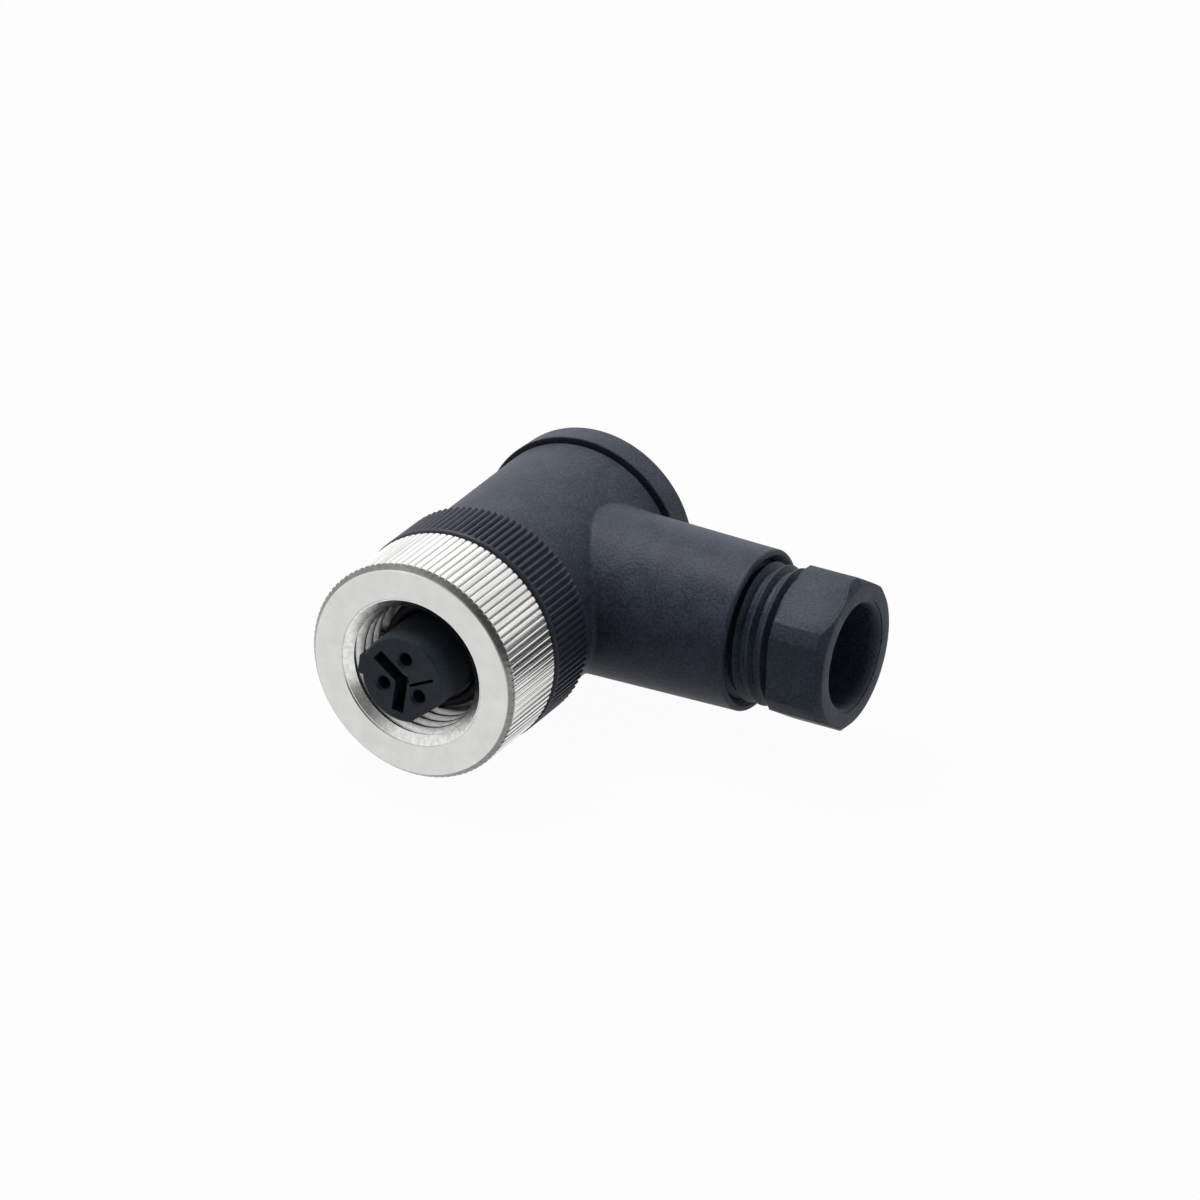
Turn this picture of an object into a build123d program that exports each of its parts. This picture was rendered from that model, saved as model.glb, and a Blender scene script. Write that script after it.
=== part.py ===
from build123d import *
from math import cos, pi, radians, sin
import os

# Angled female cable connector, field wired, for a 1/2 inch 20 UNF coupling.
# Millimetres. The origin is the centre of the coupling ring's front face.
# +Y runs back along the mating axis, +X out along the cable branch, +Z up.
# Radii are built up from the contacts outwards, so walls and steps stay as named.

# Clearances
thread_clearance = 0.06      # radial, between a screw thread and its nut
turning_clearance = 0.05     # radial, where one piece turns on another
face_clearance = 0.05        # between faces that meet
seal_clearance = 0.1         # round a rubber ring

# Contacts and their screw terminals
contact_offset = 2.0         # from the mating axis
contact_angles = (83.0, 203.0, 323.0)
socket_bore_radius = 0.55
socket_bore_depth = 6.0
socket_wall = 0.4
terminal_inner = 1.2         # from the mating axis
terminal_length = 4.95
terminal_wall = 0.4
terminal_roof = 0.9          # threaded for the clamp screw
chamber_height = 1.8
chamber_width = 1.8
clamp_screw_radius = 0.8
clamp_screw_place = 2.35     # behind the terminal's front face
clamp_head_radius = 1.5
clamp_head_height = 1.0
clamp_head_gap = 0.1         # left under the head of a closed screw
clamp_slot_width = 0.4
clamp_slot_depth = 0.5
guard_thickness = 0.3
guard_side_gap = 0.1
guard_setback = 0.55         # from the terminal's rear
guard_edge_radius = 0.075
wire_gap = 0.2               # left under a closed guard

# Contact insert
nose_radius = 4.0
nose_proud = 1.5             # in front of the coupling ring's face
nose_chamfer = 0.15
block_cover = 0.5            # round the heads of the clamp screws
terminal_cover = 0.7         # in front of the terminals and behind them
window_clearance = 0.2       # round the clamp screws' heads
entry_radius = 0.61
entry_draft = 1.5            # degrees
entry_chamfer = 0.22
entry_depth = 1.8
slot_margin = 0.9            # between a slot's end and the nose's side
slot_depth = 2.0
wide_slot_width = 1.15
wide_slot_angles = (143.0, 263.0)
thin_slot_width = 0.28
thin_slot_start = 0.53
thin_slot_side_step = 0.63   # beside the mating axis
thin_slot_angle = 25.7
key_angle = 174.0
key_width = 1.7
key_height = 0.3
key_setback = 1.15           # in front of the sleeve
keyway_angle = -50.0
keyway_depth = 0.5

# Rubber rings
face_seal_section = 0.45     # radius of the rubber cord
insert_seal_section = 0.4

# Sleeve that carries the contact insert
sleeve_wall = 1.05
sleeve_land = 0.6            # in front of the retainer's groove
sleeve_flange_inset = 1.0    # from the housing's thread
sleeve_flange_length = 0.9
retainer_width = 0.55
retainer_groove_depth = 0.35
retainer_height = 0.7
retainer_gap_width = 1.4

# Union ring, which pulls the insert on to the housing
union_gap = 0.15             # behind the coupling ring
union_length = 5.65
union_wall = 0.85
union_lip_length = 1.15
union_nose_length = 0.4
union_nose_depth = 0.3
union_band_length = 0.45
union_teeth = 100
union_groove_depth = 0.3
union_crest_share = 0.36     # of one tooth pitch
union_root_share = 0.36

# Coupling ring
ring_step = 0.11             # inside the union ring's surface
ring_length = 7.55
ring_chamfer_length = 0.6
ring_chamfer_depth = 0.5
ring_rear_chamfer = 0.2
ring_thread_minor_radius = 5.7
ring_counterbore_step = 0.8
ring_mouth_step = 0.37
ring_mouth_depth = 0.35
ring_thread_start = 1.1
ring_lip_length = 1.15
ring_relief_margin = 0.1     # in front of the retainer
ring_relief_depth = 0.7
ring_teeth = 98
ring_groove_depth = 0.2
ring_crest_share = 0.58
ring_root_share = 0.04

# Angled housing
neck_wall = 0.7              # between the thread and the seal's rebate
neck_chamfer = 0.4
body_gap = 0.08              # behind the union ring
body_step = 0.46             # from the neck's thread to the body's surface
body_draft = 0.13            # growth of the body's radius towards the rear
body_length = 16.49
cavity_clearance = 0.4       # round the contact insert
seal_rebate_depth = 0.95
branch_offset = 9.59         # of the branch axis behind the body's front
branch_length = 12.36        # beyond the body's surface
branch_wall = 0.96
branch_draft = 0.47
branch_edge_radius = 0.3
branch_fillet = 0.45
branch_mouth_chamfer = 0.5
passage_step = 0.2
seal_seat_wall = 1.3

# Rear cap
cap_gap = 0.43               # the groove in front of the cap
cap_overhang = 0.45          # beyond the body's surface
cap_draft = 0.1
cap_length = 2.87
cap_edge_radius = 0.35
cap_plug_step = 0.3          # from the cavity to the plug
cap_plug_length = 4.1
cap_wall = 1.3
cap_floor = 1.6
cap_side_clearance = 0.26    # to the branch
cap_rim_width = 2.44
cap_dish_depth = 0.3
cap_seal_gap = 0.3
cap_seal_setback = 0.44      # from the body's surface

# Cable gland
cable_bore_radius = 4.5
cone_step = 0.4
cone_depth = 0.75
cone_seat_length = 2.9
cone_run_out = 0.2
gland_wall = 0.6             # from the cone's mouth to the thread's crest
gland_shank_length = 7.5
gland_shank_chamfer = 0.3
gland_undercut_length = 0.45
gland_undercut_depth = 0.62
gland_shoulder = 0.25
gland_opening = 3.95         # between the branch's end and the hexagon
gland_stop_gap = 0.2         # left there when the gland is tight
hexagon_length = 5.3
hexagon_corner_angle = 148.2
hexagon_corner_trim = 0.385
hexagon_end_chamfer = 0.65
hexagon_end_inset = 0.05
hexagon_shoulder_chamfer = 0.12
funnel_radius = 0.55
funnel_step = 0.08
cage_flange_step = 0.25
cage_flange_length = 1.0
cage_grip = 0.6              # step from the gland's bore to the cage's
cage_tip_gap = 0.4
cage_slots = 8
cage_slot_width = 0.7
washer_thickness = 0.4
washer_step = 0.1
seal_grip = 0.8              # step from the cage's bore to the cable seal's
cable_seal_chamfer = 0.5

# Radii and widths that follow from the contacts outwards
socket_radius = socket_bore_radius + socket_wall
terminal_width = chamber_width + 2 * terminal_wall
chamber_inner = terminal_inner + terminal_wall
chamber_outer = chamber_inner + chamber_height
terminal_outer = chamber_outer + terminal_roof
guard_outer = chamber_outer - face_clearance
guard_width = chamber_width - 2 * guard_side_gap
guard_length = terminal_length - terminal_wall - 2 * face_clearance - guard_setback
clamp_travel = chamber_height - face_clearance - guard_thickness - wire_gap
clamp_head_inner = terminal_outer + face_clearance + clamp_travel + clamp_head_gap
screw_window_radius = clamp_head_radius + window_clearance
insert_block_radius = clamp_head_inner + clamp_head_height + block_cover
cavity_radius = insert_block_radius + cavity_clearance
seal_rebate_radius = insert_block_radius + 2 * insert_seal_section + 2 * seal_clearance
neck_radius = seal_rebate_radius + neck_wall
union_bore_radius = neck_radius + thread_clearance
union_radius = union_bore_radius + union_wall + union_groove_depth
ring_radius = union_radius - ring_step
body_front_radius = neck_radius + body_step
body_rear_radius = body_front_radius + body_draft
cap_plug_radius = cavity_radius + cap_plug_step
cap_bore_radius = cap_plug_radius + thread_clearance
cap_front_radius = body_rear_radius + cap_overhang
cap_rear_radius = cap_front_radius - cap_draft
cap_dish_radius = cap_rear_radius - cap_rim_width
cap_seal_inner_radius = cap_plug_radius + cap_seal_gap
cap_seal_outer_radius = body_rear_radius - cap_seal_setback
sleeve_bore_radius = nose_radius + turning_clearance
sleeve_neck_radius = sleeve_bore_radius + sleeve_wall
sleeve_flange_radius = neck_radius - sleeve_flange_inset
ring_lip_radius = sleeve_neck_radius + turning_clearance
union_lip_radius = ring_lip_radius + turning_clearance
ring_counterbore_radius = ring_thread_minor_radius + ring_counterbore_step
ring_mouth_radius = ring_counterbore_radius + ring_mouth_step
ring_relief_radius = ring_thread_minor_radius + ring_relief_depth

# Radii that follow from the cable outwards
cone_seat_throat = cable_bore_radius + cone_step
cone_seat_mouth = cone_seat_throat + cone_depth
gland_thread_radius = cone_seat_mouth + gland_wall
hexagon_inner_radius = gland_thread_radius + gland_shoulder
hexagon_corner_radius = hexagon_inner_radius / cos(pi / 6) - hexagon_corner_trim
hexagon_end_radius = hexagon_inner_radius - hexagon_end_inset
branch_bore_radius = gland_thread_radius + thread_clearance
branch_end_radius = branch_bore_radius + branch_wall
branch_root_radius = branch_end_radius + branch_draft
cage_bore_radius = cable_bore_radius - cage_grip
cage_flange_radius = gland_thread_radius - cage_flange_step
washer_bore_radius = cage_bore_radius + washer_step
wire_passage_radius = washer_bore_radius + passage_step
cable_seal_bore_radius = cage_bore_radius - seal_grip
cable_seal_radius = branch_bore_radius - seal_clearance

# Stations along the mating axis
union_start = ring_length + union_gap
union_end = union_start + union_length
body_start = union_end + body_gap
body_end = body_start + body_length
cap_start = body_end + cap_gap
cap_end = cap_start + cap_length
branch_y = body_start + branch_offset
flange_start = union_start + union_lip_length + face_clearance
flange_end = flange_start + sleeve_flange_length
nose_face = -nose_proud
block_start = flange_end + face_clearance
neck_front = flange_end + seal_clearance
ring_lip_front = ring_length - ring_lip_length
retainer_rear = ring_lip_front - 2 * face_clearance
retainer_front = retainer_rear - retainer_width
ring_thread_end = retainer_front - ring_relief_margin
sleeve_front = retainer_front - sleeve_land
contact_front = nose_face + entry_depth
terminal_start = block_start + terminal_cover
insert_end = terminal_start + terminal_length + terminal_cover
screw_y = terminal_start + clamp_screw_place

# Stations along the cable branch
seal_seat = cavity_radius + seal_seat_wall
branch_reach = body_rear_radius + branch_length
shoulder_x = branch_reach + gland_opening
hexagon_end_x = shoulder_x + hexagon_length
shank_end_x = shoulder_x - gland_shank_length
cage_flange_end_x = shank_end_x - 2 * face_clearance
cage_flange_start_x = cage_flange_end_x - cage_flange_length
cage_tip_x = cage_flange_end_x + cone_seat_length - cage_tip_gap
washer_end_x = cage_flange_start_x - face_clearance
washer_start_x = washer_end_x - washer_thickness
gland_travel_in = gland_opening - gland_stop_gap
cable_seal_start_x = seal_seat + face_clearance
cable_seal_end_x = washer_start_x - gland_travel_in - face_clearance

mating_axis = Axis((0, 0, 0), (0, 1, 0))
branch_axis = Axis((0, branch_y, 0), (1, 0, 0))
branch_profile_plane = Plane(origin=(0, branch_y, 0), x_dir=(1, 0, 0), z_dir=(0, 0, 1))


def outward(angle):
    """The direction away from the mating axis at this angle, from +X towards +Z."""
    return (cos(radians(angle)), 0, sin(radians(angle)))


def station(y, angle=0):
    """The plane across the mating axis at y, seen from the front, with its x at this angle."""
    return Plane(origin=(0, y, 0), x_dir=outward(angle), z_dir=(0, -1, 0))


def radial_plane(angle, y):
    """The plane at y whose normal points outwards at this angle about the mating axis."""
    return Plane(origin=(0, y, 0), x_dir=(0, 1, 0), z_dir=outward(angle))


def knurl_outline(teeth, crest_radius, depth, crest_share, root_share):
    """Corner points of a straight knurl's cross-section."""
    pitch = 2 * pi / teeth
    flank_share = (1 - crest_share - root_share) / 2
    corners = (
        (0, crest_radius),
        (crest_share, crest_radius),
        (crest_share + flank_share, crest_radius - depth),
        (crest_share + flank_share + root_share, crest_radius - depth),
    )
    points = []
    for tooth in range(teeth):
        for share, radius in corners:
            angle = (tooth + share) * pitch
            points.append((radius * cos(angle), radius * sin(angle)))
    return points


os.makedirs("parts", exist_ok=True)

# Coupling ring: turned, then knurled all along
with BuildPart() as coupling_ring:
    with BuildSketch(Plane.XY):
        with BuildLine():
            Polyline(
                (ring_mouth_radius, 0),
                (ring_radius - ring_chamfer_depth, 0),
                (ring_radius, ring_chamfer_length),
                (ring_radius, ring_length - ring_rear_chamfer),
                (ring_radius - ring_rear_chamfer, ring_length),
                (ring_lip_radius, ring_length),
                (ring_lip_radius, ring_lip_front),
                (ring_relief_radius, ring_lip_front),
                (ring_relief_radius, ring_thread_end),
                (ring_thread_minor_radius, ring_thread_end),
                (ring_thread_minor_radius, ring_thread_start),
                (ring_counterbore_radius, ring_thread_start),
                (ring_counterbore_radius, ring_mouth_depth),
                close=True,
            )
        make_face()
    revolve(axis=mating_axis)
    with BuildSketch(station(0)):
        with BuildLine():
            Polyline(
                *knurl_outline(ring_teeth, ring_radius, ring_groove_depth, ring_crest_share, ring_root_share),
                close=True,
            )
        make_face()
    extrude(amount=-ring_length, mode=Mode.INTERSECT)
coupling_ring.part.label = "coupling_ring"
export_step(coupling_ring.part, "parts/coupling_ring.step")

# Union ring: smooth rounded band at the front, coarse ribs behind it
with BuildPart() as union_ring:
    with BuildSketch(Plane.XY):
        with BuildLine():
            Polyline(
                (union_radius, union_start + union_nose_length),
                (union_radius, union_end),
                (union_bore_radius, union_end),
                (union_bore_radius, union_start + union_lip_length),
                (union_lip_radius, union_start + union_lip_length),
                (union_lip_radius, union_start),
                (union_radius - union_nose_depth, union_start),
            )
            EllipticalCenterArc(
                (union_radius - union_nose_depth, union_start + union_nose_length),
                union_nose_depth,
                union_nose_length,
                start_angle=-90,
                arc_size=90,
            )
        make_face()
    revolve(axis=mating_axis)
    with BuildSketch(station(union_start + union_band_length)):
        Circle(union_radius + union_groove_depth)
        with BuildLine():
            Polyline(
                *knurl_outline(
                    union_teeth, union_radius, union_groove_depth, union_crest_share, union_root_share
                ),
                close=True,
            )
        make_face(mode=Mode.SUBTRACT)
    extrude(amount=-union_length, mode=Mode.SUBTRACT)
union_ring.part.label = "union_ring"
export_step(union_ring.part, "parts/union_ring.step")

# Sleeve with its flange and the groove for the retaining ring
with BuildPart() as insert_sleeve:
    with BuildSketch(Plane.XY):
        with BuildLine():
            Polyline(
                (sleeve_bore_radius, sleeve_front),
                (sleeve_neck_radius, sleeve_front),
                (sleeve_neck_radius, retainer_front),
                (sleeve_neck_radius - retainer_groove_depth, retainer_front),
                (sleeve_neck_radius - retainer_groove_depth, retainer_rear),
                (sleeve_neck_radius, retainer_rear),
                (sleeve_neck_radius, flange_start),
                (sleeve_flange_radius, flange_start),
                (sleeve_flange_radius, flange_end),
                (sleeve_bore_radius, flange_end),
                close=True,
            )
        make_face()
    revolve(axis=mating_axis)
insert_sleeve.part.label = "insert_sleeve"
export_step(insert_sleeve.part, "parts/insert_sleeve.step")

# Split spring ring that keeps the coupling ring on the sleeve
with BuildPart() as coupling_retainer:
    retainer_inner = sleeve_neck_radius - retainer_groove_depth + face_clearance
    with BuildSketch(station(retainer_front + face_clearance / 2)):
        Circle(retainer_inner + retainer_height)
        Circle(retainer_inner, mode=Mode.SUBTRACT)
        with Locations((0, -retainer_inner)):
            Rectangle(retainer_gap_width, 4 * retainer_height, mode=Mode.SUBTRACT)
    extrude(amount=-(retainer_width - face_clearance))
coupling_retainer.part.label = "coupling_retainer"
export_step(coupling_retainer.part, "parts/coupling_retainer.step")

# Rubber ring against which the mating part's rim closes
with BuildPart() as face_seal:
    with BuildSketch(Plane.XY):
        with Locations(
            (
                sleeve_bore_radius + face_clearance + face_seal_section,
                sleeve_front - face_clearance - face_seal_section,
            )
        ):
            Circle(face_seal_section)
    revolve(axis=mating_axis)
face_seal.part.label = "face_seal"
export_step(face_seal.part, "parts/face_seal.step")

# Rubber ring between the insert and the housing's neck
with BuildPart() as insert_seal:
    with BuildSketch(Plane.XY):
        with Locations(
            (
                insert_block_radius + face_clearance + insert_seal_section,
                block_start + insert_seal_section,
            )
        ):
            Circle(insert_seal_section)
    revolve(axis=mating_axis)
insert_seal.part.label = "insert_seal"
export_step(insert_seal.part, "parts/insert_seal.step")

# Contact insert: keyed nose in front, terminal block behind
with BuildPart() as contact_insert:
    key_length = sleeve_front - key_setback - nose_face
    slot_reach = nose_radius - slot_margin
    with BuildSketch(Plane.XY):
        with BuildLine():
            Polyline(
                (0, nose_face),
                (nose_radius - nose_chamfer, nose_face),
                (nose_radius, nose_face + nose_chamfer),
                (nose_radius, block_start),
                (insert_block_radius, block_start),
                (insert_block_radius, insert_end),
                (0, insert_end),
                close=True,
            )
        make_face()
    revolve(axis=mating_axis)
    with BuildSketch(station(nose_face)):
        with Locations(Rotation(0, 0, key_angle)):
            with Locations(((nose_radius + key_height) / 2, 0)):
                Rectangle(nose_radius + key_height, key_width)
    extrude(amount=-key_length)
    with BuildSketch(station(nose_face)):
        with Locations(Rotation(0, 0, keyway_angle)):
            with Locations((nose_radius - keyway_depth + nose_radius / 2, 0)):
                Rectangle(nose_radius, 2 * nose_radius)
    extrude(amount=-key_length, mode=Mode.SUBTRACT)
    with BuildSketch(station(nose_face)):
        for slot_angle in wide_slot_angles:
            with Locations(Rotation(0, 0, slot_angle)):
                with Locations((slot_reach / 2 - wide_slot_width / 4, 0)):
                    Rectangle(slot_reach + wide_slot_width / 2, wide_slot_width)
        with Locations(Rotation(0, 0, thin_slot_angle)):
            with Locations(((slot_reach + thin_slot_start) / 2, -thin_slot_side_step)):
                Rectangle(slot_reach - thin_slot_start, thin_slot_width)
    extrude(amount=-slot_depth, mode=Mode.SUBTRACT)
    with BuildSketch(station(nose_face)):
        with PolarLocations(contact_offset, len(contact_angles), start_angle=contact_angles[0]):
            Circle(entry_radius)
    extrude(amount=-(entry_depth + face_clearance), taper=entry_draft, mode=Mode.SUBTRACT)
    with BuildSketch(station(nose_face)):
        with PolarLocations(contact_offset, len(contact_angles), start_angle=contact_angles[0]):
            Circle(entry_radius + entry_chamfer)
    extrude(amount=-entry_chamfer, taper=45, mode=Mode.SUBTRACT)
    with BuildSketch(station(contact_front)):
        with PolarLocations(contact_offset, len(contact_angles), start_angle=contact_angles[0]):
            Circle(socket_radius + turning_clearance)
    extrude(amount=-(terminal_start - contact_front), mode=Mode.SUBTRACT)
    with BuildSketch(station(terminal_start - face_clearance)):
        for contact_angle in contact_angles:
            with Locations(Rotation(0, 0, contact_angle)):
                with Locations(((terminal_inner + terminal_outer) / 2, 0)):
                    Rectangle(
                        terminal_outer - terminal_inner + 2 * face_clearance,
                        terminal_width + 2 * face_clearance,
                    )
    extrude(amount=-(insert_end - terminal_start + 2 * face_clearance), mode=Mode.SUBTRACT)
    for contact_angle in contact_angles:
        with BuildSketch(radial_plane(contact_angle, screw_y).offset(terminal_outer)):
            Circle(screw_window_radius)
        extrude(amount=insert_block_radius, mode=Mode.SUBTRACT)
contact_insert.part.label = "contact_insert"
export_step(contact_insert.part, "parts/contact_insert.step")

# Three contacts, each with its clamp screw and wire guard
contact_names = ("contact_1", "contact_2", "earth_contact")
for number, (contact_name, contact_angle) in enumerate(zip(contact_names, contact_angles), start=1):
    terminal_plane = station(terminal_start, contact_angle)
    front_plane = station(contact_front, contact_angle)

    with BuildPart() as contact:
        with BuildSketch(front_plane):
            with Locations((contact_offset, 0)):
                Circle(socket_radius)
        extrude(amount=-(terminal_start - contact_front))
        with BuildSketch(terminal_plane):
            with Locations(((terminal_inner + terminal_outer) / 2, 0)):
                Rectangle(terminal_outer - terminal_inner, terminal_width)
        extrude(amount=-terminal_length)
        with BuildSketch(front_plane):
            with Locations((contact_offset, 0)):
                Circle(socket_bore_radius)
        extrude(amount=-socket_bore_depth, mode=Mode.SUBTRACT)
        with BuildSketch(terminal_plane.offset(-terminal_wall)):
            with Locations(((chamber_inner + chamber_outer) / 2, 0)):
                Rectangle(chamber_height, chamber_width)
        extrude(amount=-terminal_length, mode=Mode.SUBTRACT)
        with BuildSketch(radial_plane(contact_angle, screw_y).offset(chamber_outer - chamber_height / 2)):
            Circle(clamp_screw_radius + turning_clearance)
        extrude(amount=terminal_outer, mode=Mode.SUBTRACT)
    contact.part.label = contact_name
    export_step(contact.part, f"parts/{contact_name}.step")

    with BuildPart() as wire_guard:
        with BuildSketch(terminal_plane.offset(-(terminal_wall + 2 * face_clearance))):
            with Locations((guard_outer - guard_thickness / 2, 0)):
                Rectangle(guard_thickness, guard_width)
        extrude(amount=-guard_length)
        fillet(wire_guard.edges().filter_by(mating_axis), guard_edge_radius)
    wire_guard.part.label = f"wire_guard_{number}"
    export_step(wire_guard.part, f"parts/wire_guard_{number}.step")

    with BuildPart() as clamp_screw:
        with BuildSketch(radial_plane(contact_angle, screw_y).offset(guard_outer + face_clearance / 2)):
            Circle(clamp_screw_radius)
        extrude(amount=clamp_head_inner - guard_outer)
        with BuildSketch(radial_plane(contact_angle, screw_y).offset(clamp_head_inner)):
            Circle(clamp_head_radius)
        extrude(amount=clamp_head_height)
        with BuildSketch(radial_plane(contact_angle, screw_y).offset(clamp_head_inner + clamp_head_height)):
            Rectangle(3 * clamp_head_radius, clamp_slot_width)
        extrude(amount=-clamp_slot_depth, mode=Mode.SUBTRACT)
    clamp_screw.part.label = f"clamp_screw_{number}"
    export_step(clamp_screw.part, f"parts/clamp_screw_{number}.step")

# Angled housing: neck and body along the mating axis, cable branch to the side
with BuildPart() as angle_housing:
    trim_length = 2 * branch_root_radius
    draft = body_draft / body_length
    with BuildSketch(Plane.XY):
        with BuildLine():
            Polyline(
                (0, neck_front),
                (neck_radius - neck_chamfer, neck_front),
                (neck_radius, neck_front + neck_chamfer),
                (neck_radius, body_start),
                (body_front_radius, body_start),
                (body_rear_radius + draft * trim_length, body_end + trim_length),
                (0, body_end + trim_length),
                close=True,
            )
        make_face()
    revolve(axis=mating_axis)
    with BuildSketch(branch_profile_plane):
        with BuildLine():
            Polyline(
                (0, 0),
                (branch_reach, 0),
                (branch_reach, branch_end_radius),
                (0, branch_root_radius),
                close=True,
            )
        make_face()
    revolve(axis=branch_axis)
    seam = angle_housing.edges().filter_by(
        lambda edge: edge.geom_type not in (GeomType.CIRCLE, GeomType.LINE)
    )
    fillet(seam, branch_fillet)
    branch_rim = (
        angle_housing.edges()
        .filter_by(GeomType.CIRCLE)
        .filter_by_position(Axis.X, branch_reach - 0.01, branch_reach + 0.01)
    )
    fillet(branch_rim, branch_edge_radius)
    with BuildSketch(station(body_end)):
        Circle(cap_front_radius + cap_side_clearance)
    extrude(amount=-2 * trim_length, mode=Mode.SUBTRACT)
    with BuildSketch(Plane.XY):
        with BuildLine():
            Polyline(
                (0, neck_front),
                (seal_rebate_radius, neck_front),
                (seal_rebate_radius, neck_front + seal_rebate_depth),
                (cavity_radius, neck_front + seal_rebate_depth),
                (cavity_radius, cap_start - cap_plug_length - face_clearance),
                (cap_bore_radius, cap_start - cap_plug_length - face_clearance),
                (cap_bore_radius, body_end),
                (0, body_end),
                close=True,
            )
        make_face()
    revolve(axis=mating_axis, mode=Mode.SUBTRACT)
    with BuildSketch(branch_profile_plane):
        with BuildLine():
            Polyline(
                (0, 0),
                (branch_reach, 0),
                (branch_reach, branch_bore_radius + branch_mouth_chamfer),
                (branch_reach - branch_mouth_chamfer, branch_bore_radius),
                (seal_seat, branch_bore_radius),
                (seal_seat, wire_passage_radius),
                (0, wire_passage_radius),
                close=True,
            )
        make_face()
    revolve(axis=branch_axis, mode=Mode.SUBTRACT)
angle_housing.part.label = "angle_housing"
export_step(angle_housing.part, "parts/angle_housing.step")

# Screwed cap that closes the housing behind the wires
with BuildPart() as rear_cap:
    with BuildSketch(Plane.XY):
        with BuildLine():
            Polyline(
                (cap_plug_radius - cap_wall, cap_start - cap_plug_length),
                (cap_plug_radius, cap_start - cap_plug_length),
                (cap_plug_radius, cap_start),
                (cap_front_radius, cap_start),
                (cap_rear_radius, cap_end),
                (cap_dish_radius, cap_end),
                (cap_dish_radius - cap_dish_depth, cap_end - cap_dish_depth),
                (0, cap_end - cap_dish_depth),
                (0, cap_end - cap_floor),
                (cap_plug_radius - cap_wall, cap_end - cap_floor),
                close=True,
            )
        make_face()
    revolve(axis=mating_axis)
    cap_rim = (
        rear_cap.edges()
        .filter_by(GeomType.CIRCLE)
        .filter_by(lambda edge: abs(edge.radius - cap_rear_radius) < 0.001)
    )
    fillet(cap_rim, cap_edge_radius)
rear_cap.part.label = "rear_cap"
export_step(rear_cap.part, "parts/rear_cap.step")

# Flat rubber ring in the groove in front of the cap
with BuildPart() as rear_cap_seal:
    with BuildSketch(station(body_end + face_clearance)):
        Circle(cap_seal_outer_radius)
        Circle(cap_seal_inner_radius, mode=Mode.SUBTRACT)
    extrude(amount=-(cap_gap - 2 * face_clearance))
rear_cap_seal.part.label = "rear_cap_seal"
export_step(rear_cap_seal.part, "parts/rear_cap_seal.step")

# Hexagon gland screw with the mouth for the cable
with BuildPart() as gland_screw:
    with BuildSketch(Plane.YZ.offset(shoulder_x)):
        with Locations((branch_y, 0)):
            RegularPolygon(hexagon_inner_radius, 6, major_radius=False, rotation=hexagon_corner_angle)
    extrude(amount=hexagon_length)
    with BuildSketch(branch_profile_plane):
        with BuildLine():
            Polyline(
                (shoulder_x, 0),
                (shoulder_x, hexagon_corner_radius - hexagon_shoulder_chamfer),
                (shoulder_x + hexagon_shoulder_chamfer, hexagon_corner_radius),
                (hexagon_end_x - hexagon_end_chamfer, hexagon_corner_radius),
                (hexagon_end_x, hexagon_end_radius),
                (hexagon_end_x, 0),
                close=True,
            )
        make_face()
    revolve(axis=branch_axis, mode=Mode.INTERSECT)
    with BuildSketch(branch_profile_plane):
        with BuildLine():
            Polyline(
                (shank_end_x, 0),
                (shank_end_x, gland_thread_radius - gland_shank_chamfer),
                (shank_end_x + gland_shank_chamfer, gland_thread_radius),
                (shoulder_x - gland_undercut_length, gland_thread_radius),
                (shoulder_x - gland_undercut_length, gland_thread_radius - gland_undercut_depth),
                (shoulder_x, gland_thread_radius - gland_undercut_depth),
                (shoulder_x, 0),
                close=True,
            )
        make_face()
    revolve(axis=branch_axis)
    with BuildSketch(branch_profile_plane):
        with BuildLine():
            funnel_mouth = cable_bore_radius + funnel_radius
            funnel_start = hexagon_end_x - funnel_step
            Polyline(
                (funnel_start - funnel_radius, cable_bore_radius),
                (shank_end_x + cone_seat_length + cone_run_out, cable_bore_radius),
                (shank_end_x + cone_seat_length, cone_seat_throat),
                (shank_end_x, cone_seat_mouth),
                (shank_end_x, 0),
                (hexagon_end_x, 0),
                (hexagon_end_x, funnel_mouth + funnel_step),
                (funnel_start, funnel_mouth + funnel_step),
                (funnel_start, funnel_mouth),
            )
            RadiusArc(
                (funnel_start, funnel_mouth),
                (funnel_start - funnel_radius, cable_bore_radius),
                -funnel_radius,
            )
        make_face()
    revolve(axis=branch_axis, mode=Mode.SUBTRACT)
gland_screw.part.label = "gland_screw"
export_step(gland_screw.part, "parts/gland_screw.step")

# Clamping cage: a ring of fingers that the gland screw's cone closes on the cable
with BuildPart() as clamping_cage:
    finger_root_radius = cone_seat_mouth - 2 * face_clearance
    finger_tip_radius = cone_seat_throat - 2 * face_clearance
    with BuildSketch(branch_profile_plane):
        with BuildLine():
            Polyline(
                (cage_flange_start_x, cage_bore_radius),
                (cage_flange_start_x, cage_flange_radius),
                (cage_flange_end_x, cage_flange_radius),
                (cage_flange_end_x, finger_root_radius),
                (cage_tip_x, finger_tip_radius),
                (cage_tip_x, cage_bore_radius),
                close=True,
            )
        make_face()
    revolve(axis=branch_axis)
    with BuildSketch(Plane.YZ.offset(cage_flange_end_x + cage_slot_width / 2)):
        with Locations((branch_y, 0)):
            with PolarLocations(cage_flange_radius / 2, cage_slots):
                Rectangle(cage_flange_radius, cage_slot_width)
    extrude(amount=cone_seat_length, mode=Mode.SUBTRACT)
clamping_cage.part.label = "clamping_cage"
export_step(clamping_cage.part, "parts/clamping_cage.step")

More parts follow.
